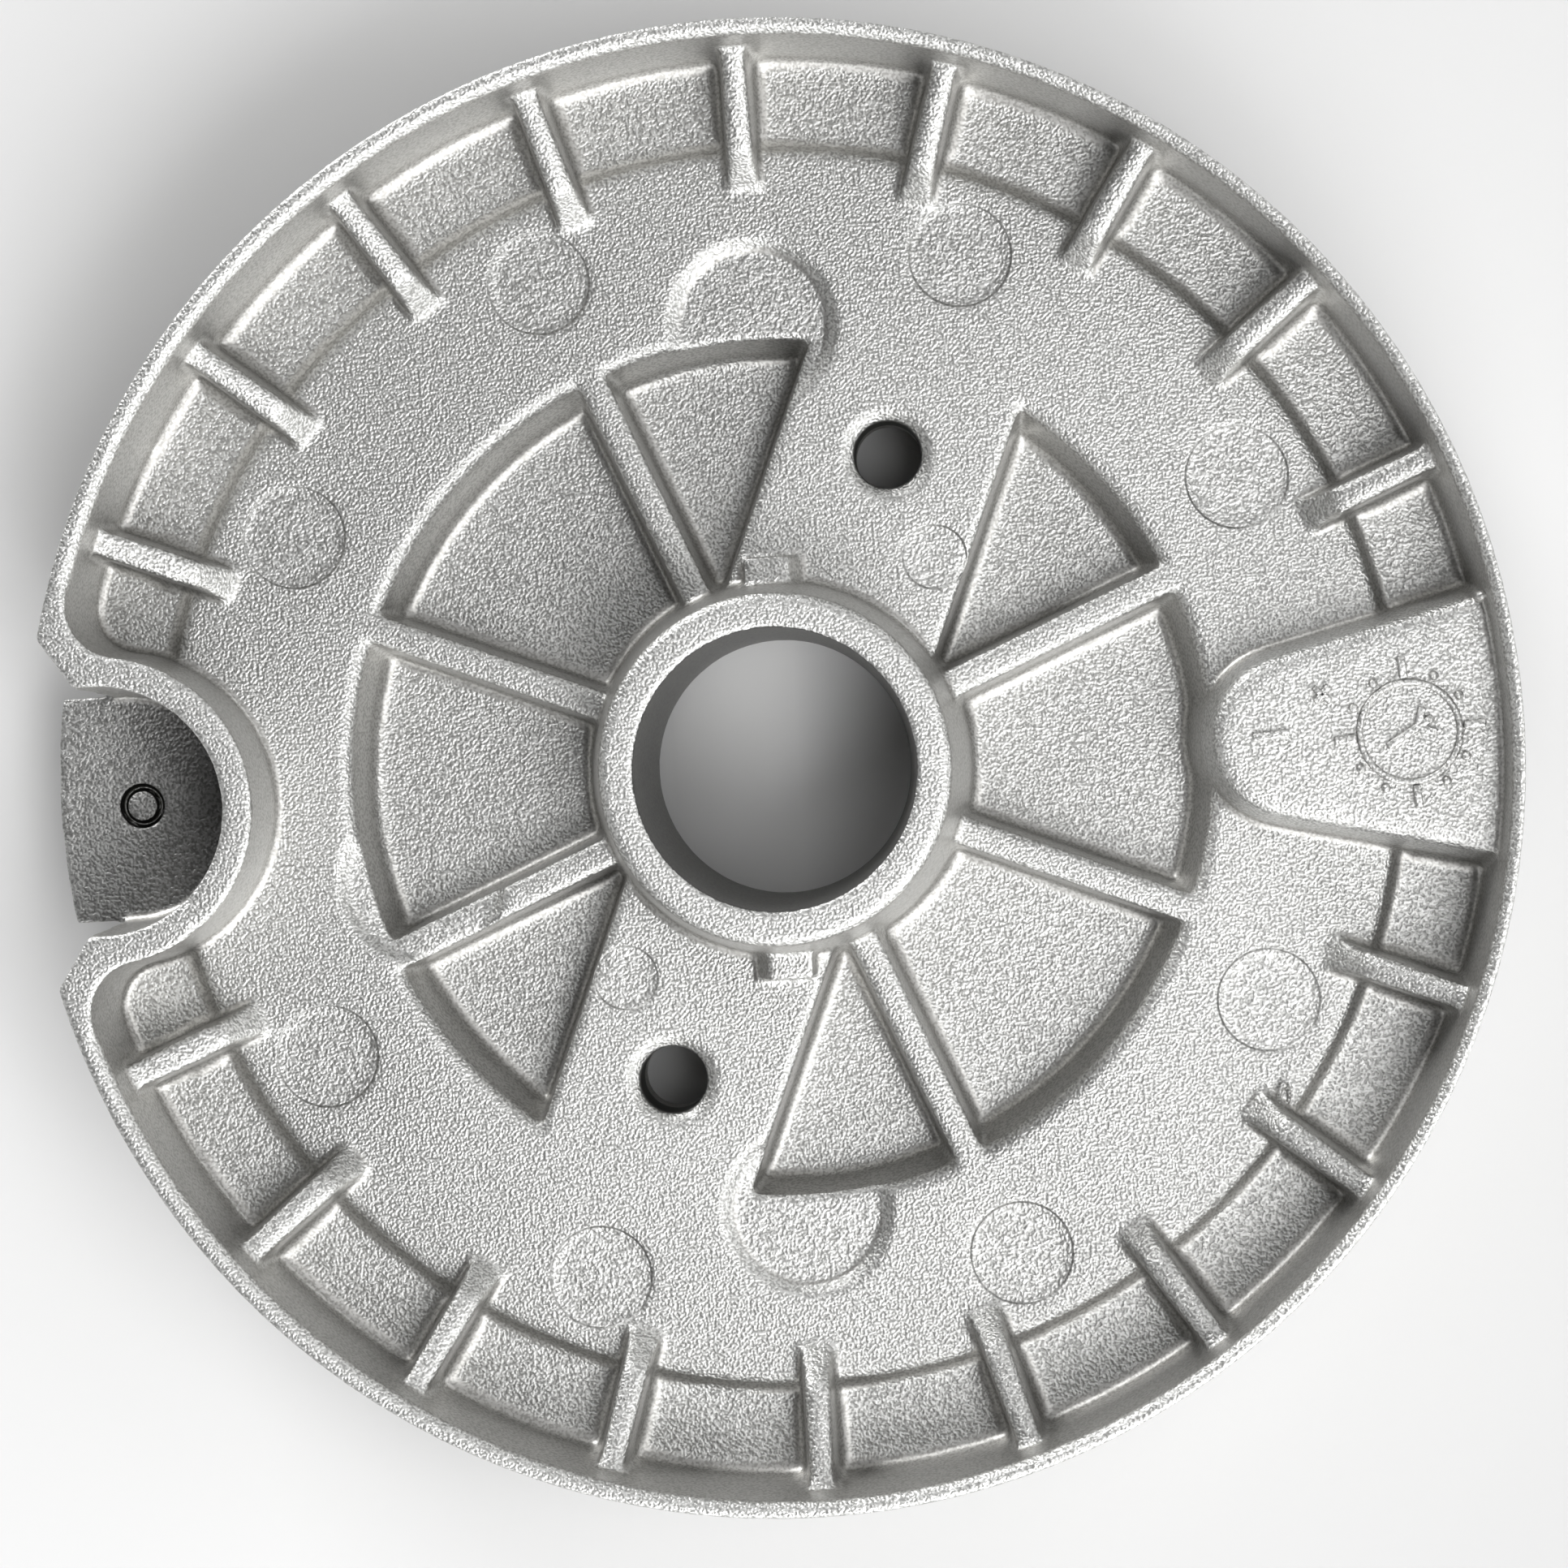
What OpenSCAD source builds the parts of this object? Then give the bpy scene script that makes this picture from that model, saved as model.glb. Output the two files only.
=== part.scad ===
// Gas hob burner body: a die-cast aluminium disc, seen and stored with its flame side down.
// The origin is on the bore's axis, at the plane that the flame crown stands on.
// The pad points along +X and the electrode notch along -X.

/* [Disc] */
// Diameter over the outer rim
rim_d = 115; // [108:0.5:124]
// Height of the outer rim's seat face above the resting plane
rim_h = 22; // [19.5:0.5:26]
// Thickness of the rim wall at its seat face
rim_wall = 1.3; // [1:0.1:1.6]
// Width and drop of the bevel on the rim's inner edge
rim_bevel = 0.6; // [0.3:0.1:0.7]
// Width and drop of the bevel on the rim's outer edge
rim_edge = 0.2; // [0.1:0.05:0.25]
// Slope of the rim's inner wall, in degrees
rim_draft = 2.6; // [1:0.2:6]
// How far the outer wall lies off the bore's axis, towards the notch
rim_shift = 0.3; // [0.1:0.05:0.4]
// Radius where the rim's and the ribs' walls run into the floor
foot_round = 0.6; // [0.3:0.1:0.9]
// Height of the main floor above the resting plane
floor_z = 11.8; // [11:0.1:13]
// Thickness of the plate under the main floor
plate_t = 2.6; // [2:0.1:3.4]

/* [Rim pockets and ribs] */
// Depth of the pockets beside the rim, below the main floor
pocket_depth = 1; // [0.5:0.1:1.8]
// Distance from the rim's outer face to the inner edge of the pockets
pocket_reach = 9.3; // [8:0.1:10.5]
// Length of the sloping inner side of the pockets
pocket_slope = 0.9; // [0.4:0.1:1.4]
// Angle from one rim rib to the next, in degrees
rib_pitch = 17; // [16.5:0.1:17.5]
// Rim ribs on each half of the disc
rib_count = 9; // [5:2:9]
// Width of a rim rib along its top
rib_w = 1.9; // [1.4:0.1:2.4]
// Slope of each side of a rim rib, in degrees
rib_draft = 3; // [1:0.5:7]
// Height of a rim rib above the main floor, at the rim
rib_h = 5.8; // [4:0.1:7]
// Height that is left where the rib's end slope starts
rib_h_in = 3.6; // [2.5:0.1:4]
// Length of the rib's end slope
rib_ramp = 2.9; // [2:0.1:4]
// Distance from the rim's outer face to the inner end of a rib
rib_reach = 12.4; // [11:0.1:14]

/* [Hub and bore] */
// Height of the hub's seat face above the resting plane
hub_h = 22; // [20:0.5:26]
// Outer diameter of the hub at its seat face
hub_d = 27.2; // [26:0.1:29]
// Slope of the hub's outer wall, in degrees
hub_draft = 6; // [2:0.5:9]
// Bore diameter at the flame end, along its straight land
bore_d = 20.4; // [18:0.1:21]
// Bore diameter at the hub's seat face
bore_mouth_d = 21.8; // [21.2:0.1:23]
// Length of the straight land
bore_land = 4; // [3:0.5:8]
// Rounding of the hub's outer edge, as a bevel
hub_bevel = 0.5; // [0.3:0.1:0.8]
// Length of a key beside the hub, along the disc
key_l = 3.4; // [2.5:0.1:4.5]
// Width of a key, outward from the hub
key_w = 2.1; // [1.5:0.1:2.6]
// Height of a key above the main floor
key_h = 2.6; // [1.5:0.1:4]
// Length of the ramp at one end of a key
key_ramp = 1.2; // [0.6:0.1:1.8]

/* [Sector pockets] */
// Outer radius of the sector pockets, at the main floor
sector_r = 34; // [31:0.5:35]
// Depth of the sector pockets below the main floor
sector_depth = 5.2; // [4:0.1:5.6]
// Slope of their outer walls, in degrees
sector_draft = 15; // [6:1:20]
// Radius of the pockets' edges at the main floor
sector_round = 1.2; // [0.4:0.1:1.4]
// Radius along the pockets' floors
sector_foot = 0.6; // [0.3:0.1:0.9]
// Width of the radial ribs between them, along the top
spoke_w = 2.2; // [1.6:0.1:3]
// Slope of each side of those ribs, in degrees
spoke_draft = 5; // [1:0.5:9]
// Radius of the edges along the tops of those ribs
spoke_round = 0.5; // [0.3:0.1:0.7]
// Angle of the two solid lands that carry the fixing holes, in degrees
land_angle = 67.5; // [60:0.5:72]
// Width of those lands, at the main floor
land_w = 17.2; // [14:0.2:19]

/* [Fixing holes and round steps] */
// Diameter of the circle through the fixing holes
fixing_pcd = 52; // [46:0.5:56]
// Diameter of the fixing holes
fixing_d = 5.3; // [4.2:0.1:6]
// Diameter over the bevel around a fixing hole
fixing_bevel_d = 7.1; // [6.4:0.1:8]
// Depth of that bevel
fixing_bevel_h = 0.65; // [0.4:0.05:1]
// Diameter of the screw head seat on the flame side
head_d = 9.6; // [8:0.1:11]
// Depth of the screw head seat
head_depth = 1.4; // [0.6:0.1:2]
// Diameter of the boss around a fixing hole on the flame side
boss_d = 12.6; // [11.6:0.2:14]
// Radius of the round steps that the sector pockets cut into
step_r = 6.7; // [5.5:0.1:7.5]
// Depth of the round steps
step_depth = 0.8; // [0.4:0.1:1.2]
// Distance of the two steps on the Y axis from the bore's axis
step_at = 34.9; // [33:0.1:37]
// Distance of the third step from the bore's axis
third_step_at = 29.6; // [28:0.1:31]
// Direction of the third step, in degrees
third_step_angle = 194; // [188:1:198]

/* [Ejector pin marks] */
// Diameter of the eight outer ejector pin marks
pin_d = 8; // [6:0.5:9]
// Distance of the outer pin marks from the bore's axis
pin_at = 42.5; // [41:0.1:43]
// Diameter of the two inner pin marks
small_pin_d = 5; // [4:0.5:5.5]
// Distance of the inner pin marks from the bore's axis
small_pin_at = 20.6; // [19.5:0.1:21]
// Direction of the first inner pin mark, in degrees
small_pin_angle = 50.3; // [48:0.1:52]
// Depth of the pin marks
pin_depth = 0.15; // [0.1:0.05:0.3]

/* [Pad] */
// Height of the raised pad above the main floor
pad_h = 5.6; // [3:0.1:6.5]
// Radius of the pad's rounded inner end, on top
pad_r = 6.2; // [5:0.1:7]
// Distance of that end's centre from the bore's axis
pad_at = 40; // [38.5:0.5:42]
// Angle by which each side of the pad opens towards the rim, in degrees
pad_flare = 13.5; // [8:0.5:15]
// Slope of the pad's sides, in degrees
pad_draft = 9; // [3:0.5:12]

/* [Electrode notch] */
// Distance of the notch's centre from the bore's axis
notch_at = 52.2; // [51:0.1:53]
// Radius of the notch at its open edge
notch_r = 9.6; // [8.6:0.1:10.2]
// Thickness of the wall around the notch
notch_wall = 2.3; // [1.8:0.1:2.6]
// Height of the notch's floor above the resting plane
notch_floor = 7.9; // [7:0.1:9]
// Thickness of the roof between the notch and the flame side
notch_roof = 2.4; // [1.8:0.1:3]
// Slope of the notch's walls, in degrees
notch_draft = 2.5; // [1:0.5:4]
// Distance from the notch's centre out to where its mouth starts to open
mouth_at = 0.95; // [0.6:0.05:1.5]
// Angle of the bevelled mouth, from the notch's axis, in degrees
mouth_angle = 56.7; // [45:0.1:60]
// Radius of the corners where the notch wall meets the rim
corner_r = 4; // [3:0.1:4.5]
// Diameter of the ring mark on the notch's floor
ring_mark_d = 3.2; // [2.4:0.1:4]
// Width of the ring mark's groove
ring_mark_w = 0.45; // [0.3:0.05:0.6]
// Depth of the ring mark
ring_mark_depth = 0.35; // [0.2:0.05:0.5]
// Distance of the ring mark from the notch's centre, inward
ring_mark_at = 1; // [0.5:0.1:1.5]

/* [Flame side] */
// Distance from the rim's outer face in to the crown's outer face
crown_step = 1.9; // [1:0.1:3]
// Height of the crown's straight outer face
crown_h = 5.5; // [4.9:0.1:6]
// Radial length of the flame ports
port_l = 8.4; // [7:0.1:9]
// Width of a flame port
port_w = 2.2; // [1.6:0.1:2.6]
// Height of a flame port
port_h = 4.6; // [3:0.1:4.8]
// Flame ports to each rim rib
ports_per_rib = 3; // [1:1:3]
// Thickness of the wall between a sector pocket and the flame side
platform_t = 3; // [2.4:0.1:3.6]
// Width of the land between the sector pockets and the platform's edge
platform_rim = 1.6; // [1:0.1:2.4]
// How much the platform's side leans inward, over its height
platform_slope = 0.6; // [0.2:0.1:1]
// How much the crown's inner wall leans outward
crown_lean = 0.3; // [0.1:0.1:0.6]
// Wall of the collar around the bore on the flame side
collar_t = 3.2; // [2:0.1:4]
// Gap between the resting plane and the ends of the collar and of the bosses
collar_gap = 0.8; // [0.4:0.1:1.4]

/* [Hidden] */
cast_aluminium = [0.80, 0.80, 0.785];
eps = 0.05;
// How far a cut passes the face that it runs out on
skim = 0.03;
rim_r = rim_d / 2;
seat_r = rim_r - rim_wall + rim_bevel;
wall_top_z = rim_h - rim_bevel;
pocket_z = floor_z - pocket_depth;
wall_foot_r = rim_r - rim_wall - (wall_top_z - pocket_z) * tan(rim_draft);
pocket_in_r = rim_r - pocket_reach;
channel_z = floor_z - plate_t;
sector_z = floor_z - sector_depth;
platform_z = sector_z - platform_t;
platform_r = sector_r + platform_rim;
// Where whatever runs into the rim ends, within the rim's wall
join_r = rim_r - rim_wall * 0.7;
hub_r = hub_d / 2;
bore_r = bore_d / 2;
collar_r = bore_r + collar_t;
crown_r = rim_r - crown_step;
crown_in_r = crown_r - port_l;
spokes = [22.5, -22.5, -67.5, 112.5, 157.5, 202.5];
rib_first = 90 - rib_pitch * (rib_count - 1) / 2;
port_pitch = rib_pitch / ports_per_rib;
pin_angles = [29.1, 67.3, 112.7, 150.9];
notch_out_r = notch_r + notch_wall;
corner_at = rim_r - rim_wall - corner_r;
corner_x = (pow(notch_out_r + corner_r, 2) - corner_at * corner_at - notch_at * notch_at) / (2 * notch_at);
corner_y = sqrt(corner_at * corner_at - corner_x * corner_x);
mouth_x = notch_at + mouth_at;
mouth_y = notch_r - (rim_h - notch_floor) * tan(notch_draft) - skim;
far = rim_r + 10;
arc_steps = 4;

// An arc about c as a list of points, from angle a0 to angle a1.
function arc(c, r, a0, a1) = [
    for (i = [0 : arc_steps])
        let (a = a0 + (a1 - a0) * i / arc_steps)
            c + r * [cos(a), sin(a)]
];

// How far a rounding of radius r reaches along the level face beside a wall of this slope.
function reach(r, draft) = r * (1 - sin(draft)) / cos(draft);

// The outline of a bar's right side, from its foot up to its top.
function bar_side(w, zw, z0, z1, draft, foot_z, foot, top) = concat(
    foot > 0
        ? let (y = w / 2 + (zw - foot_z) * tan(draft) + reach(foot, draft))
            concat([[y, z0]], arc([y, foot_z + foot - skim], foot, 270, 180 + draft))
        : [[w / 2 + (zw - z0) * tan(draft), z0]],
    top > 0
        ? let (y = w / 2 - reach(top, draft))
            concat(arc([y, zw - top + skim], top, draft, 90), [[y, z1]])
        : [[w / 2 + (zw - z1) * tan(draft), z1]]
);

// A bar along +X from x0 to x1 whose sides lean by draft; w is its width at height zw.
// foot rounds its sides into a floor at foot_z, and top rounds its edges at zw.
module drafted_bar(x0, x1, w, zw, z0, z1, draft, foot_z = 0, foot = 0, top = 0) {
    right = bar_side(w, zw, z0, z1, draft, foot_z, foot, top);
    left = [for (i = [len(right) - 1 : -1 : 0]) [-right[i][0], right[i][1]]];
    translate([x0, 0, 0])
        rotate([90, 0, 90])
            linear_extrude(height = x1 - x0)
                polygon(concat(right, left));
}

// The outside of the rim and of the flame crown, as a solid turned body.
module outside() {
    translate([-rim_shift, 0, 0])
        rotate_extrude($fn = 144)
            polygon([
                [0, 0],
                [crown_r, 0],
                [crown_r, crown_h],
                [rim_r, crown_h],
                [rim_r, rim_h - rim_edge],
                [rim_r - rim_edge, rim_h],
                [0, rim_h]
            ]);
}

// What is hollow above the floor: inside the rim's wall, and the pockets' ring.
module cavity() {
    foot = [wall_foot_r - reach(foot_round, rim_draft), pocket_z + foot_round];
    rotate_extrude($fn = 144)
        polygon(concat(
            [
                [0, rim_h + 1],
                [seat_r + 1, rim_h + 1],
                [seat_r, rim_h],
                [rim_r - rim_wall, wall_top_z]
            ],
            arc(foot, foot_round, -rim_draft, -90),
            [
                [pocket_in_r + pocket_slope, pocket_z],
                [pocket_in_r, floor_z],
                [0, floor_z]
            ]
        ));
}

// What is hollow on the flame side: the channel behind the crown, and the space below the platform.
module channel() {
    rotate_extrude($fn = 144)
        polygon([
            [0, -1],
            [crown_in_r, -1],
            [crown_in_r, 0],
            [crown_in_r - crown_lean, channel_z],
            [platform_r, channel_z],
            [platform_r - platform_slope, platform_z],
            [0, platform_z]
        ]);
}

// The disc without its hub: rim, plate, flame crown and platform.
module disc() {
    difference() {
        outside();
        cavity();
        channel();
    }
}

// The eight sector pockets: a drafted ring, less the six spokes and the two lands.
module sector_pockets() {
    foot_r = sector_r - sector_depth * tan(sector_draft) - reach(sector_foot, sector_draft);
    edge_r = sector_r + reach(sector_round, sector_draft);
    difference() {
        rotate_extrude($fn = 144)
            polygon(concat(
                [[bore_r, sector_z]],
                arc([foot_r, sector_z + sector_foot], sector_foot, -90, -sector_draft),
                arc([edge_r, floor_z - sector_round + skim], sector_round, 180 - sector_draft, 90),
                [[edge_r, floor_z + 1], [bore_r, floor_z + 1]]
            ));
        for (a = spokes)
            rotate([0, 0, a])
                drafted_bar(0, sector_r + 5, spoke_w, floor_z, sector_z - 1, floor_z + 2, spoke_draft,
                    sector_z, sector_foot, spoke_round);
        for (a = [land_angle, land_angle + 180])
            rotate([0, 0, a])
                drafted_bar(0, sector_r + 5, land_w, floor_z, sector_z - 1, floor_z + 2, spoke_draft,
                    sector_z, sector_foot, spoke_round);
    }
}

// The hub's wall from its seat face down to a floor at foot_z, with a rounded foot there.
module hub_cone(foot_z) {
    foot_x = hub_r + (hub_h - foot_z) * tan(hub_draft) + reach(foot_round, hub_draft);
    rotate_extrude($fn = 96)
        polygon(concat(
            [[0, foot_z - 1], [foot_x, foot_z - 1]],
            arc([foot_x, foot_z + foot_round], foot_round, 270, 180 + hub_draft),
            [
                [hub_r, hub_h - hub_bevel],
                [hub_r - hub_bevel, hub_h],
                [0, hub_h]
            ]
        ));
}

// The hub, with one foot in the sector pockets and another on the two lands, and its collar.
module hub() {
    hub_cone(sector_z);
    intersection() {
        hub_cone(floor_z);
        rotate([0, 0, land_angle])
            drafted_bar(-hub_d, hub_d, land_w, floor_z, floor_z - 2, hub_h + 1, 0);
    }
    translate([0, 0, collar_gap])
        cylinder(h = sector_z - collar_gap, r = collar_r, $fn = 96);
}

// The bore: a straight land at the flame end, then a slow taper to the seat face.
module bore() {
    rotate_extrude($fn = 96)
        polygon([
            [0, -1],
            [bore_r, -1],
            [bore_r, collar_gap + bore_land],
            [bore_mouth_d / 2, hub_h],
            [bore_mouth_d / 2, hub_h + 1],
            [0, hub_h + 1]
        ]);
}

// One rib of the rim: drafted sides, a top that slopes inward and a sloping end.
module rim_rib() {
    x1 = join_r;
    x0 = rim_r - rib_reach;
    z0 = pocket_z - 0.5;
    intersection() {
        drafted_bar(x0, x1, rib_w, floor_z + rib_h, z0, floor_z + rib_h + 1, rib_draft, pocket_z, foot_round);
        rotate([90, 0, 0])
            linear_extrude(height = 20, center = true)
                polygon([
                    [x0, z0],
                    [x1, z0],
                    [x1, floor_z + rib_h],
                    [rim_r - rim_wall, floor_z + rib_h],
                    [x0 + rib_ramp, floor_z + rib_h_in],
                    [x0, floor_z - 0.3]
                ]);
    }
}

module rim_ribs() {
    for (side = [1, -1])
        for (k = [0 : rib_count - 1])
            rotate([0, 0, side * (rib_first + k * rib_pitch)])
                rim_rib();
}

// Everything on the inner side of one leaning side of the pad, for side 1 or -1.
module pad_side(side, top_z) {
    translate([pad_at, 0, 0])
        rotate([0, 0, side * pad_flare])
            translate([0, side * pad_r, top_z])
                rotate([side * pad_draft, 0, 0])
                    translate([-far, side > 0 ? -far : 0, -far])
                        cube([2 * far, far, 2 * far]);
}

// The raised pad: a cone for its rounded end and a wedge between two leaning sides.
module pad() {
    top_z = floor_z + pad_h;
    z0 = sector_z - 0.5;
    intersection() {
        union() {
            translate([pad_at, 0, z0])
                cylinder(h = top_z - z0, r1 = pad_r + (top_z - z0) * tan(pad_draft), r2 = pad_r, $fn = 96);
            intersection() {
                pad_side(1, top_z);
                pad_side(-1, top_z);
                translate([pad_at - pad_r * sin(pad_flare), -far, pocket_z - 0.5])
                    cube([far, 2 * far, top_z - pocket_z + 0.5]);
            }
        }
        union() {
            translate([0, 0, z0])
                cylinder(h = top_z - z0, r = platform_r - platform_slope - eps, $fn = 144);
            translate([0, 0, channel_z + 1])
                cylinder(h = top_z - channel_z - 1, r = join_r, $fn = 144);
        }
    }
}

// The wall around the notch, on both faces of the plate, with its rounded corners to the rim.
module notch_walls() {
    lean = tan(notch_draft);
    wall_x = corner_x * (rim_r - rim_wall) / corner_at;
    wall_y = corner_y * (rim_r - rim_wall) / corner_at;
    intersection() {
        union() {
            translate([-notch_at, 0, floor_z - 1])
                cylinder(h = rim_h - floor_z + 1, r1 = notch_out_r + (rim_h - floor_z + 1) * lean, r2 = notch_out_r, $fn = 96);
            translate([-notch_at, 0, 0])
                cylinder(h = floor_z, r1 = notch_out_r, r2 = notch_out_r + floor_z * lean, $fn = 96);
            for (side = [1, -1])
                difference() {
                    linear_extrude(height = rim_h)
                        polygon([
                            [-notch_at, side * notch_r * 0.8],
                            [corner_x - 0.6, side * (notch_out_r - 0.4)],
                            [corner_x, side * corner_y],
                            [wall_x, side * wall_y],
                            [wall_x - 3, side * wall_y],
                            [-far, side * notch_r]
                        ]);
                    translate([corner_x, side * corner_y, pocket_z])
                        cylinder(h = rim_h - pocket_z + eps, r1 = corner_r - (rim_h - pocket_z) * tan(rim_draft), r2 = corner_r, $fn = 64);
                    translate([corner_x, side * corner_y, -1])
                        cylinder(h = channel_z + 1, r = corner_r, $fn = 64);
                }
        }
        outside();
    }
}

// A slab under the notch's mouth, from z0 to z1, that opens outward at the mouth's angle.
module mouth(z0, z1, flared) {
    out_y = flared ? mouth_y + (far - mouth_x) * tan(mouth_angle) : mouth_y;
    translate([0, 0, z0])
        linear_extrude(height = z1 - z0)
            polygon([
                [-notch_at, mouth_y],
                [-mouth_x, mouth_y],
                [-far, out_y],
                [-far, -out_y],
                [-mouth_x, -mouth_y],
                [-notch_at, -mouth_y]
            ]);
}

// What the notch takes away: the pocket above its floor, the recess below its roof and the mouth's corners.
module notch_cut() {
    lean = tan(notch_draft);
    up = rim_h - notch_floor;
    under = notch_floor - notch_roof;
    translate([-notch_at, 0, notch_floor])
        cylinder(h = up + 1, r1 = notch_r - up * lean, r2 = notch_r + lean, $fn = 96);
    mouth(notch_floor, rim_h + 1, true);
    translate([-notch_at, 0, -1])
        cylinder(h = under + 1, r1 = notch_r, r2 = notch_r - under * lean, $fn = 96);
    mouth(-1, under, true);
    difference() {
        mouth(under - 1, notch_floor + 1, true);
        mouth(under - 2, notch_floor + 2, false);
    }
}

// The ring that an ejector pin left on the notch's floor.
module ring_mark() {
    translate([ring_mark_at - notch_at, 0, notch_floor - ring_mark_depth])
        difference() {
            cylinder(h = 2, d = ring_mark_d, $fn = 48);
            translate([0, 0, -1])
                cylinder(h = 4, d = ring_mark_d - 2 * ring_mark_w, $fn = 48);
        }
}

// A fixing hole from the main floor down to its screw head seat, with its bevel.
module fixing_hole() {
    translate([0, 0, -1])
        cylinder(h = floor_z + 2, d = fixing_d, $fn = 64);
    translate([0, 0, floor_z - fixing_bevel_h])
        cylinder(h = fixing_bevel_h + eps, d1 = fixing_d, d2 = fixing_bevel_d + eps, $fn = 64);
    translate([0, 0, -1])
        cylinder(h = collar_gap + head_depth + 1, d = head_d, $fn = 64);
}

// The boss around a fixing hole on the flame side, which the screw head seat is sunk into.
module fixing_boss() {
    translate([0, 0, collar_gap])
        cylinder(h = sector_z - 1 - collar_gap, d = boss_d, $fn = 64);
}

// A round step in the main floor, with a sloping side.
module round_step() {
    translate([0, 0, floor_z - step_depth])
        cylinder(h = step_depth + 0.2, r1 = step_r - step_depth, r2 = step_r + 0.2, $fn = 72);
}

// A key beside the hub, with a ramp at one end.
module hub_key() {
    y0 = hub_r + (hub_h - floor_z - key_h) * tan(hub_draft) - 0.6;
    translate([0, y0 + key_w + 0.6, 0])
        rotate([90, 0, 0])
            linear_extrude(height = key_w + 0.6)
                polygon([
                    [-key_l / 2 - 0.2, floor_z - 0.4],
                    [key_l / 2 + key_ramp, floor_z - 0.4],
                    [key_l / 2, floor_z + key_h],
                    [-key_l / 2, floor_z + key_h]
                ]);
}

// The flame ports through the crown.
module ports() {
    for (side = [1, -1])
        for (k = [0 : rib_count * ports_per_rib])
            rotate([0, 0, side * (rib_first - port_pitch * (ports_per_rib + 0.5) + k * port_pitch)])
                translate([crown_in_r - 2, -port_w / 2, -1])
                    cube([port_l + 4, port_w, port_h + 1]);
}

module burner_casting() {
    color(cast_aluminium)
        difference() {
            union() {
                difference() {
                    disc();
                    sector_pockets();
                    for (a = [90, -90])
                        rotate([0, 0, a])
                            translate([step_at, 0, 0])
                                round_step();
                    rotate([0, 0, third_step_angle])
                        translate([third_step_at, 0, 0])
                            round_step();
                }
                hub();
                rim_ribs();
                pad();
                notch_walls();
                hub_key();
                rotate([0, 0, 180])
                    hub_key();
                for (a = [land_angle, land_angle + 180])
                    rotate([0, 0, a])
                        translate([fixing_pcd / 2, 0, 0])
                            fixing_boss();
            }
            bore();
            notch_cut();
            ring_mark();
            ports();
            for (a = [land_angle, land_angle + 180])
                rotate([0, 0, a])
                    translate([fixing_pcd / 2, 0, 0])
                        fixing_hole();
            for (side = [1, -1])
                for (a = pin_angles)
                    rotate([0, 0, side * a])
                        translate([pin_at, 0, floor_z - pin_depth])
                            cylinder(h = 1, d = pin_d, $fn = 48);
            for (a = [small_pin_angle, small_pin_angle + 180])
                rotate([0, 0, a])
                    translate([small_pin_at, 0, floor_z - pin_depth])
                        cylinder(h = 1, d = small_pin_d, $fn = 48);
        }
}

burner_casting();
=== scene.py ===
import math

import bpy
import numpy as np
from mathutils import Matrix, Vector


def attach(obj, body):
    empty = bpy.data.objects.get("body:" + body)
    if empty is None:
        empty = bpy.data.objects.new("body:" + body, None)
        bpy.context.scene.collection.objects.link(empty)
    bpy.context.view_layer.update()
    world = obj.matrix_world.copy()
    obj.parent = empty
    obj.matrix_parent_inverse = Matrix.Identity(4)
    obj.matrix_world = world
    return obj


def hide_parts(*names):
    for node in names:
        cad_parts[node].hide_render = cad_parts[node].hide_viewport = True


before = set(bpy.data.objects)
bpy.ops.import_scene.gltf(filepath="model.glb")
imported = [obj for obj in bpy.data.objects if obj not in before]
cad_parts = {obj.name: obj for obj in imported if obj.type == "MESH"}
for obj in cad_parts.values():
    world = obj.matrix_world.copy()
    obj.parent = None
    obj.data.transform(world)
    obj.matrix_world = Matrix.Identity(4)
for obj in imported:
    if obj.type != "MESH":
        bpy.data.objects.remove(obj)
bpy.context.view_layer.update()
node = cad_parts["burner_casting"]


# Burner casting: one piece of die-cast aluminium, as it comes from the die.
# It is a copy of the CAD casting whose sharp edges are rounded the way that a die's edges
# are, so it takes that node's place.
bpy.ops.object.select_all(action="DESELECT")
casting = node.copy()
casting.data = node.data.copy()
casting.parent = None
casting.matrix_world = Matrix.Identity(4)
for key in list(casting.keys()):
    del casting[key]
casting.name = casting.data.name = "burner_casting_skin"
bpy.context.scene.collection.objects.link(casting)
casting.select_set(True)
bpy.context.view_layer.objects.active = casting
casting.data.materials.clear()
bpy.ops.object.mode_set(mode="EDIT")
bpy.ops.mesh.select_all(action="SELECT")
bpy.ops.mesh.remove_doubles(threshold=1e-6)
bpy.ops.object.mode_set(mode="OBJECT")
remesh = casting.modifiers.new("die_skin", "REMESH")
remesh.mode = "VOXEL"
remesh.voxel_size = 0.00027
remesh.adaptivity = 0.0
bpy.ops.object.modifier_apply(modifier=remesh.name)

# Edges keep a small radius along the rim, a larger one inside it, and the largest at the pad's
# top and in the corners of the pockets.
points = np.empty(len(casting.data.vertices) * 3)
casting.data.vertices.foreach_get("co", points)
x, y, z = 1000 * points.reshape(-1, 3).T
r = np.hypot(x, y)
everywhere = r > 0
inside = (r < 56.6) | (z < 20.5)
pad = (x > 31.5) & (np.abs(y) < 17) & (r < 54.8) & (z > 12.9)
rim_feet = (r > 49.6) & (r < 56.3) & (z > 9.8) & (z < 13.2) & (x > -48)
rim_steps = (r > 46.5) & (r < 49.6) & (z > 9.8) & (z < 13.2) & (x > -48)
rib_tops = (r > 46) & (r < 55.6) & (z > 13.2) & (x > -46) & ~pad
sector_feet = (r > 14.5) & (r < 35) & (z > 6) & (z < 9.5)
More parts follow.
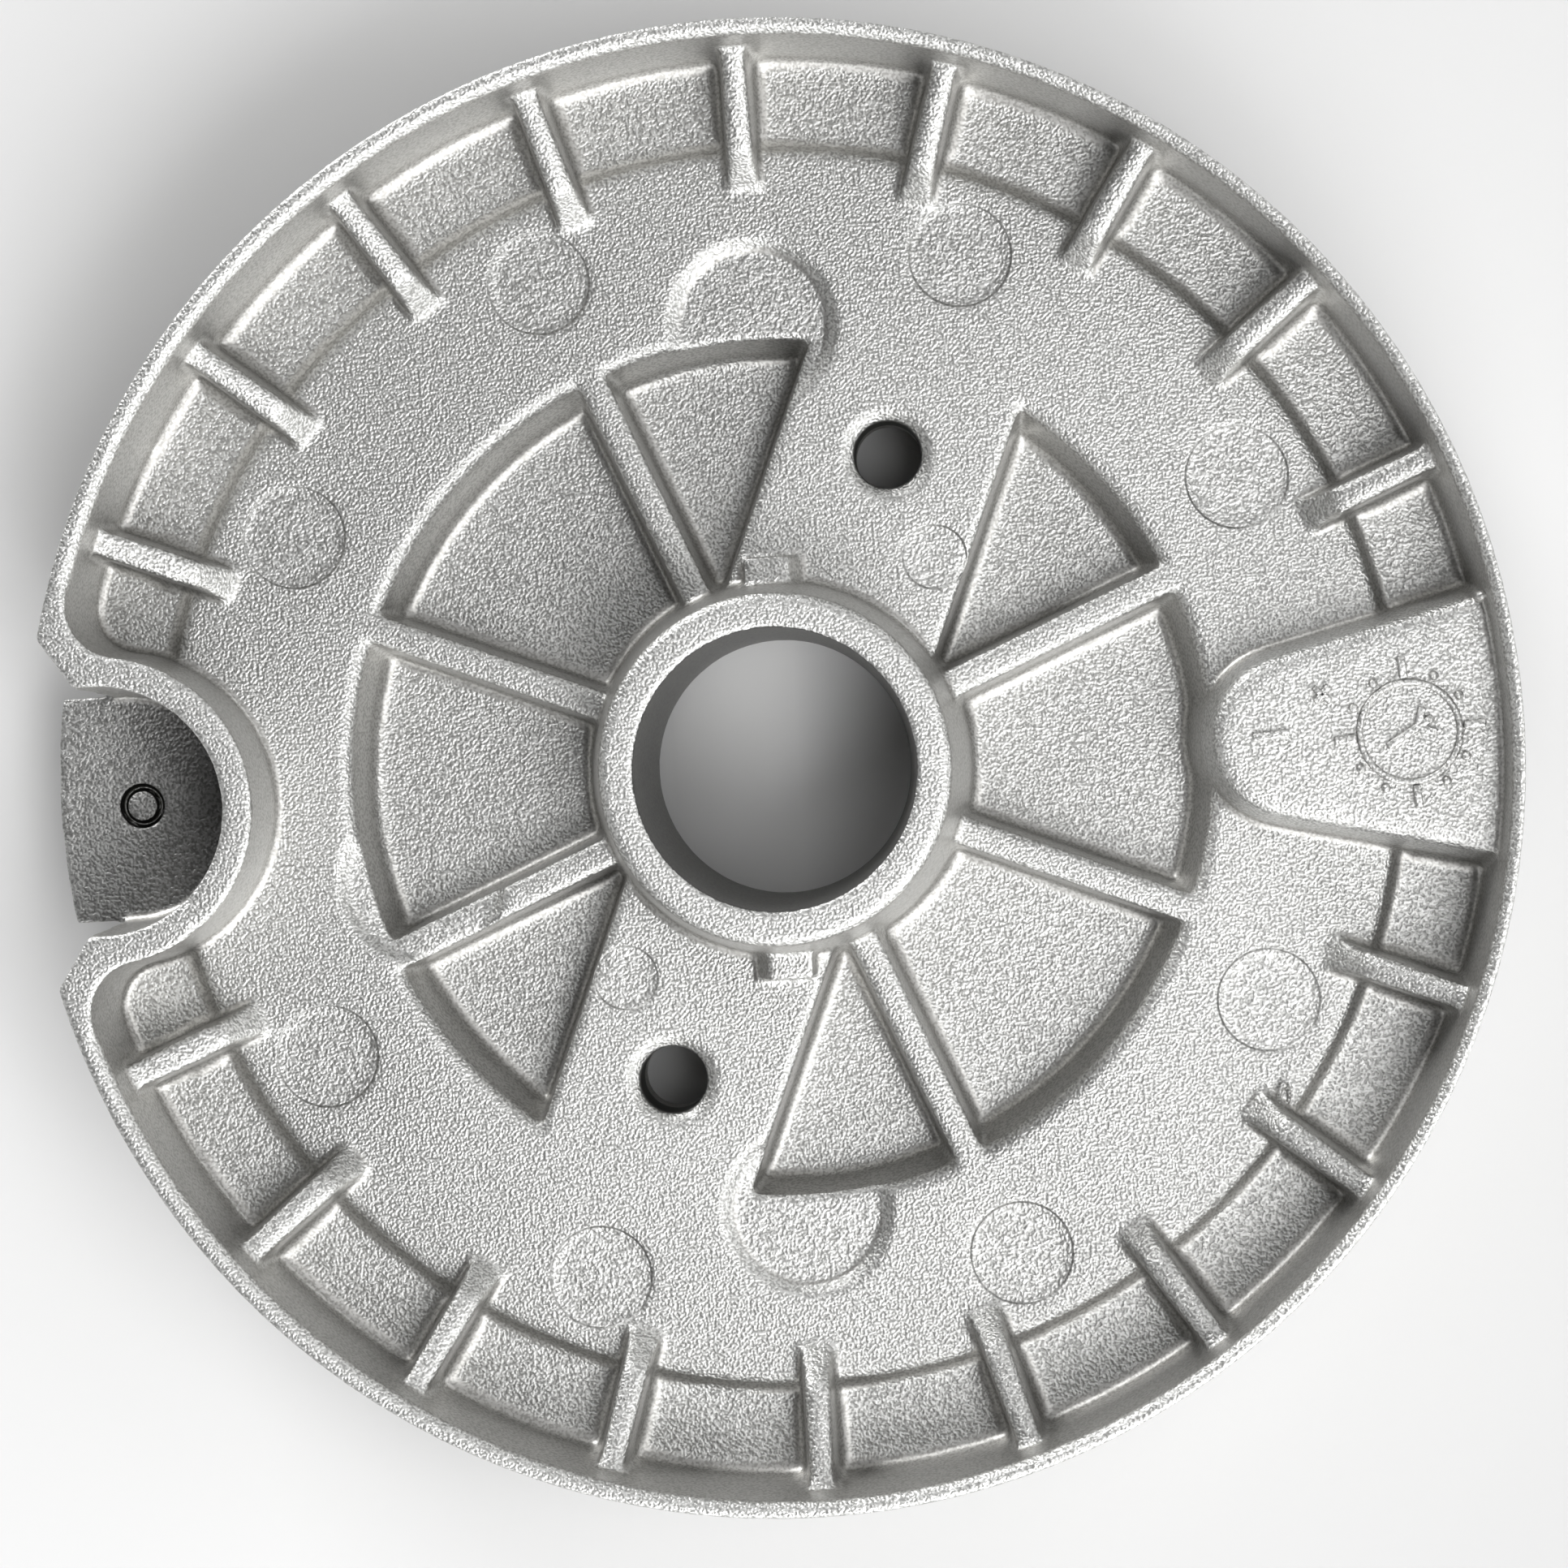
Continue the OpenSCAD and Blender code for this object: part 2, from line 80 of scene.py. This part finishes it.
for name, chosen, turns in (("all_edges", everywhere, 1), ("inner_edges", inside, 4), ("pad_edge", pad, 60),
                            ("rim_feet", rim_feet, 40), ("rim_steps", rim_steps, 4), ("rib_tops", rib_tops, 30),
                            ("sector_feet", sector_feet, 20)):
    group = casting.vertex_groups.new(name=name)
    group.add(np.flatnonzero(chosen).tolist(), 1.0, "REPLACE")
    rounding = casting.modifiers.new(name, "SMOOTH")
    rounding.factor = 0.5
    rounding.iterations = turns
    rounding.vertex_group = name
    bpy.ops.object.modifier_apply(modifier=name)
casting.vertex_groups.clear()
thin = casting.modifiers.new("fewer_faces", "DECIMATE")
thin.ratio = 180000 / (2 * len(casting.data.polygons))
bpy.ops.object.modifier_apply(modifier=thin.name)

# The ring mark on the notch floor: a fine groove, cut again because the skin is too coarse for it.
bpy.ops.object.select_all(action="DESELECT")
bpy.ops.mesh.primitive_torus_add(major_radius=0.00147, minor_radius=0.00033, major_segments=64,
                                 minor_segments=14, location=(-0.0512, 0.0001, 0.00786))
ring = bpy.context.object
ring.name = "ring_groove"
ring.scale = (1, 1, 2.2)
bpy.ops.object.select_all(action="DESELECT")
casting.select_set(True)
bpy.context.view_layer.objects.active = casting
groove = casting.modifiers.new("ring_groove", "BOOLEAN")
groove.operation = "DIFFERENCE"
groove.solver = "MANIFOLD"
groove.object = ring
bpy.ops.object.modifier_apply(modifier=groove.name)
bpy.data.objects.remove(ring)
casting.data.materials.clear()

bpy.ops.object.shade_smooth()
flats = casting.modifiers.new("level_flats", "WEIGHTED_NORMAL")
flats.mode = "FACE_AREA"
flats.weight = 90
flats.keep_sharp = False
bpy.ops.object.modifier_apply(modifier=flats.name)

# How hollow the skin is at each point, in 1/mm: the feet of the walls, which the grain leaves out,
# as it does the slope between the main floor and the rim pockets.
mesh = casting.data
count = len(mesh.vertices)
points, facing = np.empty(count * 3), np.empty(count * 3)
mesh.vertices.foreach_get("co", points)
mesh.vertex_normals.foreach_get("vector", facing)
points, facing = 1000 * points.reshape(-1, 3), facing.reshape(-1, 3)
ends = np.empty(len(mesh.edges) * 2, dtype=np.int32)
mesh.edges.foreach_get("vertices", ends)
one, two = ends.reshape(-1, 2).T
ways = np.bincount(ends, minlength=count)
step = points[two] - points[one]
long = (step ** 2).sum(1) + 1e-9
hollow = (np.bincount(one, 2 * (step * facing[one]).sum(1) / long, count)
          - np.bincount(two, 2 * (step * facing[two]).sum(1) / long, count)) / ways
for turn in range(8):
    near = np.bincount(one, hollow[two], count) + np.bincount(two, hollow[one], count)
    hollow = 0.5 * hollow + 0.5 * near / ways
x, y, z = points.T
r = np.hypot(x, y)
hollow[(r > 46) & (r < 56.4) & (x > -48) & (z > 11) & (z < 11.55)] = 0.5
mesh.attributes.new("hollow", "FLOAT", "POINT").data.foreach_set("value", hollow.astype(np.float32))

# The pad's rounded edge carries the grain down to its foot, so it is marked for the material.
on_pad = (x > 31) & (r < 55) & (np.abs(y) < 8.3 + 0.17 * (x - 31)) & (z > 12.4) & (z < 18)
mesh.attributes.new("pad", "FLOAT", "POINT").data.foreach_set("value", on_pad.astype(np.float32))

# Marks on the pad: a plain ring with four bars and eight dots around it, a pointer inside,
# and a bar and a small cross beside it. All are raised by 0.3 to 0.4 mm.
marks = []
bpy.ops.mesh.primitive_torus_add(major_radius=0.00385, minor_radius=0.00026, major_segments=96,
                                 minor_segments=8, location=(0.04885, -0.0002, 0.01755))
marks.append(bpy.context.object)
bars = [(48.85 + 5.0 * math.cos(a), -0.2 + 5.0 * math.sin(a), a, 1.7, 0.62)
        for a in [math.radians(3.6 + 90 * k) for k in range(4)]]
bars += [(48.85, -0.2, math.radians(30), 4.2, 0.6),
         (49.7, 0.95, math.radians(75), 1.5, 0.6),
         (50.2, -0.15, math.radians(-15), 1.5, 0.6),
         (38.2, 0.2, math.radians(3.6), 2.9, 0.6),
         (42.3, 3.1, math.radians(48.6), 1.7, 0.5),
         (42.3, 3.1, math.radians(-41.4), 1.7, 0.5)]
for cx, cy, turn, length, width in bars:
    bpy.ops.mesh.primitive_cube_add(size=1, location=(cx / 1000, cy / 1000, 0.01765), rotation=(0, 0, turn))
    bar = bpy.context.object
    bar.scale = (length / 1000, width / 1000, 0.0005)
    bpy.ops.object.transform_apply(location=False, rotation=True, scale=True)
    edge = bar.modifiers.new("edge", "BEVEL")
    edge.width = 0.00015
    edge.segments = 3
    bpy.ops.object.modifier_apply(modifier=edge.name)
    marks.append(bar)
for k in range(12):
    if k % 3:
        a = math.radians(3.6 + 30 * k)
        bpy.ops.mesh.primitive_ico_sphere_add(subdivisions=3, radius=0.00036, location=(
            0.04885 + 0.0047 * math.cos(a), -0.0002 + 0.0047 * math.sin(a), 0.0176))
        marks.append(bpy.context.object)

# Two casting flaws that stay on the part: a curl of flash at a rib's foot and a burr at the pad's corner.
bpy.ops.mesh.primitive_torus_add(major_radius=0.00055, minor_radius=0.0002, major_segments=32, minor_segments=10,
                                 location=(0.0378, -0.0281, 0.0121), rotation=(0.5, 0.3, 0.1))
curl = bpy.context.object
curl.scale = (0.8, 1.7, 1.0)
bpy.ops.object.transform_apply(location=False, rotation=True, scale=True)
marks.append(curl)
bpy.ops.mesh.primitive_ico_sphere_add(subdivisions=3, radius=0.0007, location=(0.05485, 0.0099, 0.0178))
burr = bpy.context.object
burr.scale = (0.9, 0.7, 1.7)
bpy.ops.object.transform_apply(location=False, rotation=True, scale=True)
marks.append(burr)
bpy.ops.object.select_all(action="DESELECT")
for mark in marks:
    mark.select_set(True)
bpy.ops.object.shade_smooth()
casting.select_set(True)
bpy.context.view_layer.objects.active = casting
bpy.ops.object.join()

cast = bpy.data.materials.new("cast_aluminium")
cast.use_nodes = True
tree = cast.node_tree
nodes, links = tree.nodes, tree.links
nodes.clear()
out = nodes.new("ShaderNodeOutputMaterial")
metal = nodes.new("ShaderNodeBsdfPrincipled")
metal.inputs["Metallic"].default_value = 1.0
links.new(metal.outputs["BSDF"], out.inputs["Surface"])
place = nodes.new("ShaderNodeTexCoord")

# How level the surface is: 1 on floors and tops, 0 on the drafted walls.
split = nodes.new("ShaderNodeSeparateXYZ")
links.new(place.outputs["Normal"], split.inputs["Vector"])
upright = nodes.new("ShaderNodeMath")
upright.operation = "ABSOLUTE"
links.new(split.outputs["Z"], upright.inputs[0])
level = nodes.new("ShaderNodeMapRange")
level.interpolation_type = "SMOOTHSTEP"
level.inputs["From Min"].default_value = 0.30
level.inputs["From Max"].default_value = 0.65
pad_zone = nodes.new("ShaderNodeAttribute")
pad_zone.attribute_name = "pad"
eased = nodes.new("ShaderNodeMath")
eased.operation = "MULTIPLY_ADD"
eased.inputs[1].default_value = 0.35
links.new(pad_zone.outputs["Fac"], eased.inputs[0])
links.new(upright.outputs["Value"], eased.inputs[2])
links.new(eased.outputs["Value"], level.inputs["Value"])

feet = nodes.new("ShaderNodeAttribute")
feet.attribute_name = "hollow"
clear = nodes.new("ShaderNodeMapRange")
clear.interpolation_type = "SMOOTHSTEP"
clear.inputs["From Min"].default_value = 0.08
clear.inputs["From Max"].default_value = 0.28
clear.inputs["To Min"].default_value = 1.0
clear.inputs["To Max"].default_value = 0.0
links.new(feet.outputs["Fac"], clear.inputs["Value"])
flat = nodes.new("ShaderNodeMapRange")
flat.inputs["From Min"].default_value = 0.975
flat.inputs["From Max"].default_value = 0.995
links.new(upright.outputs["Value"], flat.inputs["Value"])
open_part = nodes.new("ShaderNodeMath")
open_part.operation = "MAXIMUM"
links.new(clear.outputs["Result"], open_part.inputs[0])
links.new(flat.outputs["Result"], open_part.inputs[1])
grained = nodes.new("ShaderNodeMath")
grained.operation = "MULTIPLY"
links.new(level.outputs["Result"], grained.inputs[0])
links.new(open_part.outputs["Value"], grained.inputs[1])

# Spark-eroded grain of the die: short wavy ridges, raised by bump, with painted shade that makes the troughs
# between them darker.
ridges = nodes.new("ShaderNodeTexNoise")
ridges.inputs["Scale"].default_value = 4500.0
ridges.inputs["Detail"].default_value = 0.0
ridges.inputs["Roughness"].default_value = 0.5
ridges.inputs["Distortion"].default_value = 0.25
links.new(place.outputs["Object"], ridges.inputs["Vector"])
grain = nodes.new("ShaderNodeBump")
grain.inputs["Distance"].default_value = 0.0001
links.new(ridges.outputs["Fac"], grain.inputs["Height"])
strength = nodes.new("ShaderNodeMapRange")
strength.inputs["To Min"].default_value = 0.04
strength.inputs["To Max"].default_value = 1.0
links.new(grained.outputs["Value"], strength.inputs["Value"])
links.new(strength.outputs["Result"], grain.inputs["Strength"])

# The crisp step around each ejector pin mark on the main floor.
spot = nodes.new("ShaderNodeSeparateXYZ")
links.new(place.outputs["Object"], spot.inputs["Vector"])
folded = nodes.new("ShaderNodeCombineXYZ")
for axis in ("X", "Y"):
    fold = nodes.new("ShaderNodeMath")
    fold.operation = "ABSOLUTE"
    links.new(spot.outputs[axis], fold.inputs[0])
    links.new(fold.outputs["Value"], folded.inputs[axis])
steps = []
for cx, cy, radius in ((0.0371, 0.0205, 0.004), (0.0166, 0.0392, 0.004), (0.01315, 0.01575, 0.0025)):
    away = nodes.new("ShaderNodeVectorMath")
    away.operation = "DISTANCE"
    away.inputs[1].default_value = (cx, cy, 0)
    links.new(folded.outputs["Vector"], away.inputs[0])
    rise = nodes.new("ShaderNodeMapRange")
    rise.interpolation_type = "SMOOTHSTEP"
    rise.inputs["From Min"].default_value = radius - 0.00009
    rise.inputs["From Max"].default_value = radius + 0.00009
    links.new(away.outputs["Value"], rise.inputs["Value"])
    steps.append(rise.outputs["Result"])
both = nodes.new("ShaderNodeMath")
both.operation = "MULTIPLY"
links.new(spot.outputs["X"], both.inputs[0])
links.new(spot.outputs["Y"], both.inputs[1])
mirrored = nodes.new("ShaderNodeMath")
mirrored.operation = "LESS_THAN"
mirrored.inputs[1].default_value = 0.0
links.new(both.outputs["Value"], mirrored.inputs[0])
small = nodes.new("ShaderNodeMath")
small.operation = "MAXIMUM"
links.new(steps[2], small.inputs[0])
links.new(mirrored.outputs["Value"], small.inputs[1])
marks_in = nodes.new("ShaderNodeMath")
marks_in.operation = "MULTIPLY"
links.new(steps[0], marks_in.inputs[0])
links.new(steps[1], marks_in.inputs[1])
floor_height = nodes.new("ShaderNodeMath")
floor_height.operation = "MULTIPLY"
links.new(marks_in.outputs["Value"], floor_height.inputs[0])
links.new(small.outputs["Value"], floor_height.inputs[1])
upper = nodes.new("ShaderNodeMath")
upper.operation = "GREATER_THAN"
upper.inputs[1].default_value = 0.011
links.new(spot.outputs["Z"], upper.inputs[0])
pins = nodes.new("ShaderNodeBump")
pins.inputs["Distance"].default_value = 0.0003
links.new(upper.outputs["Value"], pins.inputs["Strength"])
links.new(floor_height.outputs["Value"], pins.inputs["Height"])
links.new(grain.outputs["Normal"], pins.inputs["Normal"])
links.new(pins.outputs["Normal"], metal.inputs["Normal"])
# Painted shade: the base colour is darker in the grain's troughs, here on the floors and below on the walls.
trough_shade = nodes.new("ShaderNodeMapRange")
trough_shade.inputs["From Min"].default_value = 0.38
trough_shade.inputs["From Max"].default_value = 0.56
links.new(ridges.outputs["Fac"], trough_shade.inputs["Value"])
floor_tint = nodes.new("ShaderNodeMix")
floor_tint.data_type = "RGBA"
floor_tint.inputs[6].default_value = (0.38, 0.38, 0.37, 1.0)
floor_tint.inputs[7].default_value = (0.62, 0.62, 0.61, 1.0)
links.new(trough_shade.outputs["Result"], floor_tint.inputs["Factor"])

# Painted shade: the notch floor's colour is darkened, the more so towards its wall, standing in for that wall's
# shadow.
painted_notch_shade = nodes.new("ShaderNodeMapRange")
for key, value in (("From Min", -0.0585), ("From Max", -0.0455), ("To Min", 0.8), ("To Max", 0.4)):
    painted_notch_shade.inputs[key].default_value = value
links.new(spot.outputs["X"], painted_notch_shade.inputs["Value"])
over_notch = nodes.new("ShaderNodeMapRange")
over_notch.inputs["From Min"].default_value = 0.0085
over_notch.inputs["From Max"].default_value = 0.0095
links.new(spot.outputs["Z"], over_notch.inputs["Value"])
past_notch = nodes.new("ShaderNodeMapRange")
past_notch.inputs["From Min"].default_value = -0.044
past_notch.inputs["From Max"].default_value = -0.043
links.new(spot.outputs["X"], past_notch.inputs["Value"])
off_notch = nodes.new("ShaderNodeMath")
off_notch.operation = "MAXIMUM"
links.new(over_notch.outputs["Result"], off_notch.inputs[0])
links.new(past_notch.outputs["Result"], off_notch.inputs[1])
notch_shade_level = nodes.new("ShaderNodeMath")
notch_shade_level.operation = "MAXIMUM"
links.new(painted_notch_shade.outputs["Result"], notch_shade_level.inputs[0])
links.new(off_notch.outputs["Value"], notch_shade_level.inputs[1])
notch_shade_tint = nodes.new("ShaderNodeMix")
notch_shade_tint.data_type = "RGBA"
notch_shade_tint.inputs[6].default_value = (0.0, 0.0, 0.0, 1.0)
links.new(notch_shade_level.outputs["Value"], notch_shade_tint.inputs["Factor"])
links.new(floor_tint.outputs[2], notch_shade_tint.inputs[7])

# Painted shade: the walls of the two fixing holes and of the ring mark's groove are painted nearly black,
# standing in for the shade deep inside them, and the bore's wall is painted darker than the others.
to_holes = []
for side in (1, -1):
    away = nodes.new("ShaderNodeVectorMath")
    away.operation = "DISTANCE"
    away.inputs[1].default_value = (side * 0.0099, side * 0.0240, 0.0085)
    links.new(place.outputs["Object"], away.inputs[0])
    to_holes.append(away.outputs["Value"])
nearest = nodes.new("ShaderNodeMath")
nearest.operation = "MINIMUM"
links.new(to_holes[0], nearest.inputs[0])
links.new(to_holes[1], nearest.inputs[1])
hole = nodes.new("ShaderNodeMapRange")
hole.inputs["From Min"].default_value = 0.0032
hole.inputs["From Max"].default_value = 0.0039
links.new(nearest.outputs["Value"], hole.inputs["Value"])
to_ring = nodes.new("ShaderNodeVectorMath")
to_ring.operation = "DISTANCE"
to_ring.inputs[1].default_value = (-0.0512, 0.0001, 0.0079)
links.new(place.outputs["Object"], to_ring.inputs[0])
off_ring = nodes.new("ShaderNodeMath")
off_ring.operation = "GREATER_THAN"
off_ring.inputs[1].default_value = 0.0022
links.new(to_ring.outputs["Value"], off_ring.inputs[0])
above = nodes.new("ShaderNodeMath")
above.operation = "GREATER_THAN"
above.inputs[1].default_value = 0.00782
links.new(spot.outputs["Z"], above.inputs[0])
no_groove = nodes.new("ShaderNodeMath")
no_groove.operation = "MAXIMUM"
links.new(off_ring.outputs["Value"], no_groove.inputs[0])
links.new(above.outputs["Value"], no_groove.inputs[1])
around_bore = nodes.new("ShaderNodeVectorMath")
around_bore.operation = "MULTIPLY"
around_bore.inputs[1].default_value = (1, 1, 0)
links.new(place.outputs["Object"], around_bore.inputs[0])
bore_r = nodes.new("ShaderNodeVectorMath")
bore_r.operation = "LENGTH"
links.new(around_bore.outputs["Vector"], bore_r.inputs[0])
bore = nodes.new("ShaderNodeMapRange")
for key, value in (("From Min", 0.0112), ("From Max", 0.0118), ("To Min", 0.4), ("To Max", 1.0)):
    bore.inputs[key].default_value = value
links.new(bore_r.outputs["Value"], bore.inputs["Value"])
open_hole = nodes.new("ShaderNodeMath")
open_hole.operation = "MULTIPLY"
links.new(hole.outputs["Result"], open_hole.inputs[0])
links.new(bore.outputs["Result"], open_hole.inputs[1])
open_wall = nodes.new("ShaderNodeMath")
open_wall.operation = "MULTIPLY"
links.new(open_hole.outputs["Value"], open_wall.inputs[0])
links.new(no_groove.outputs["Value"], open_wall.inputs[1])
wall_tint_with_hole_shade = nodes.new("ShaderNodeMix")
wall_tint_with_hole_shade.data_type = "RGBA"
# Painted shade: nearly black, for the walls of the holes and the groove.
wall_tint_with_hole_shade.inputs[6].default_value = (0.05, 0.05, 0.045, 1.0)
# Painted shade in the grain's troughs on the walls as well.
wall_trough_shade = nodes.new("ShaderNodeMix")
wall_trough_shade.data_type = "RGBA"
wall_trough_shade.inputs[6].default_value = (0.35, 0.345, 0.33, 1.0)
wall_trough_shade.inputs[7].default_value = (0.50, 0.495, 0.48, 1.0)
links.new(trough_shade.outputs["Result"], wall_trough_shade.inputs["Factor"])
links.new(wall_trough_shade.outputs[2], wall_tint_with_hole_shade.inputs[7])
links.new(open_wall.outputs["Value"], wall_tint_with_hole_shade.inputs["Factor"])
tint = nodes.new("ShaderNodeMix")
tint.data_type = "RGBA"
links.new(wall_tint_with_hole_shade.outputs[2], tint.inputs[6])
links.new(notch_shade_tint.outputs[2], tint.inputs[7])
links.new(grained.outputs["Value"], tint.inputs["Factor"])
links.new(tint.outputs[2], metal.inputs["Base Color"])
rough = nodes.new("ShaderNodeMapRange")
rough.inputs["To Min"].default_value = 0.45
rough.inputs["To Max"].default_value = 0.52
links.new(grained.outputs["Value"], rough.inputs["Value"])
links.new(rough.outputs["Result"], metal.inputs["Roughness"])
casting.data.materials.append(cast)
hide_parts("burner_casting")
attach(casting, "root")


# Paper: the sheet of white paper that the part lies on.
bpy.ops.object.select_all(action="DESELECT")
bpy.ops.mesh.primitive_plane_add(size=3.0, location=(0, 0, 0))
paper = bpy.context.object
paper.name = "paper"
sheet = bpy.data.materials.new("white_paper")
sheet.use_nodes = True
paper_tree = sheet.node_tree
paper_tree.nodes["Principled BSDF"].inputs["Roughness"].default_value = 0.9
paper_place = paper_tree.nodes.new("ShaderNodeTexCoord")
# Painted shade: the paper is painted darker towards the lower right, from 0.74 to 0.50, evening out the extra
# light of the lamps near there.
across = paper_tree.nodes.new("ShaderNodeVectorMath")
across.operation = "DOT_PRODUCT"
across.inputs[1].default_value = (0.83, -0.56, 0)
paper_tree.links.new(paper_place.outputs["Object"], across.inputs[0])
fade = paper_tree.nodes.new("ShaderNodeMapRange")
fade.inputs["From Min"].default_value = -0.085
fade.inputs["From Max"].default_value = 0.085
paper_tree.links.new(across.outputs["Value"], fade.inputs["Value"])
paper_painted_shade = paper_tree.nodes.new("ShaderNodeMix")
paper_painted_shade.data_type = "RGBA"
paper_painted_shade.inputs[6].default_value = (0.74, 0.74, 0.74, 1)
paper_painted_shade.inputs[7].default_value = (0.50, 0.50, 0.50, 1)
paper_tree.links.new(fade.outputs["Result"], paper_painted_shade.inputs["Factor"])
# Painted light and shade: the paper seen through the bore is painted lighter, from 0.45 at its left to 0.85 at
# its right, standing in for the light that comes down the bore and for the bore wall's shade on its left.
middle = paper_tree.nodes.new("ShaderNodeVectorMath")
middle.operation = "LENGTH"
paper_tree.links.new(paper_place.outputs["Object"], middle.inputs[0])
in_bore = paper_tree.nodes.new("ShaderNodeMapRange")
in_bore.inputs["From Min"].default_value = 0.011
in_bore.inputs["From Max"].default_value = 0.012
paper_tree.links.new(middle.outputs["Value"], in_bore.inputs["Value"])
shown = paper_tree.nodes.new("ShaderNodeMix")
shown.data_type = "RGBA"
under = paper_tree.nodes.new("ShaderNodeSeparateXYZ")
paper_tree.links.new(paper_place.outputs["Object"], under.inputs["Vector"])
bore_painted_light = paper_tree.nodes.new("ShaderNodeMapRange")
for key, value in (("From Min", -0.009), ("From Max", 0.001), ("To Min", 0.45), ("To Max", 0.85)):
    bore_painted_light.inputs[key].default_value = value
paper_tree.links.new(under.outputs["X"], bore_painted_light.inputs["Value"])
paper_tree.links.new(bore_painted_light.outputs["Result"], shown.inputs[6])
paper_tree.links.new(in_bore.outputs["Result"], shown.inputs["Factor"])
paper_tree.links.new(paper_painted_shade.outputs[2], shown.inputs[7])
paper_tree.links.new(shown.outputs[2], paper_tree.nodes["Principled BSDF"].inputs["Base Color"])
paper.data.materials.append(sheet)


# Light: soft lamps around the part, the strongest from the lower right, and no sky light.
for height, around, away, size, watts in ((14, 120, 0.8, 0.36, 5.5), (14, 40, 0.8, 0.36, 1.4), (14, 200, 0.8, 0.36, 0.7),
                                          (16, 305, 0.5, 0.22, 1.1), (16, 255, 0.5, 0.22, 0.66), (16, 330, 0.5, 0.22, 0.43),
                                          (16, 355, 0.5, 0.22, 0.37), (30, 280, 0.5, 0.22, 0.69), (30, 355, 0.5, 0.22, 0.31),
                                          (34, 75, 0.8, 0.36, 0.28), (44, 305, 0.5, 0.22, 0.19), (58, 280, 0.5, 0.22, 0.58),
                                          (58, 305, 0.5, 0.22, 0.46), (58, 335, 0.5, 0.22, 0.32), (60, 45, 0.8, 0.36, 0.4),
                                          (60, 120, 0.8, 0.36, 0.31), (72, 345, 0.5, 0.22, 0.46)):
    up, turn = math.radians(height), math.radians(around)
    towards = Vector((math.cos(up) * math.cos(turn), math.cos(up) * math.sin(turn), math.sin(up)))
    bpy.ops.object.light_add(type="AREA", location=towards * away)
    lamp = bpy.context.object
    lamp.name = "lamp_%d_%d" % (height, around)
    lamp.data.shape = "DISK"
    lamp.data.size = size
    lamp.data.energy = watts
    lamp.rotation_euler = (-towards).to_track_quat("-Z", "Y").to_euler()
    lamp.visible_camera = False
world = bpy.data.worlds.new("sky")
bpy.context.scene.world = world
world.use_nodes = True
world.node_tree.nodes["Background"].inputs["Color"].default_value = (1.0, 1.0, 1.0, 1)
world.node_tree.nodes["Background"].inputs["Strength"].default_value = 0.0


# Camera: straight above the part, turned a little, as in the photograph.
bpy.ops.object.camera_add(location=(0.01621, 0.00356, 0.38754))
camera = bpy.context.object
camera.name = "camera"
camera.rotation_mode = "XYZ"
camera.rotation_euler = (math.radians(-0.889), math.radians(2.384), math.radians(-3.595))
camera.data.sensor_width = 36.0
camera.data.lens = 5898.0 / 1932.0 * 36.0
camera.data.clip_start = 0.01
bpy.context.scene.camera = camera
bpy.context.scene.view_settings.view_transform = "Standard"
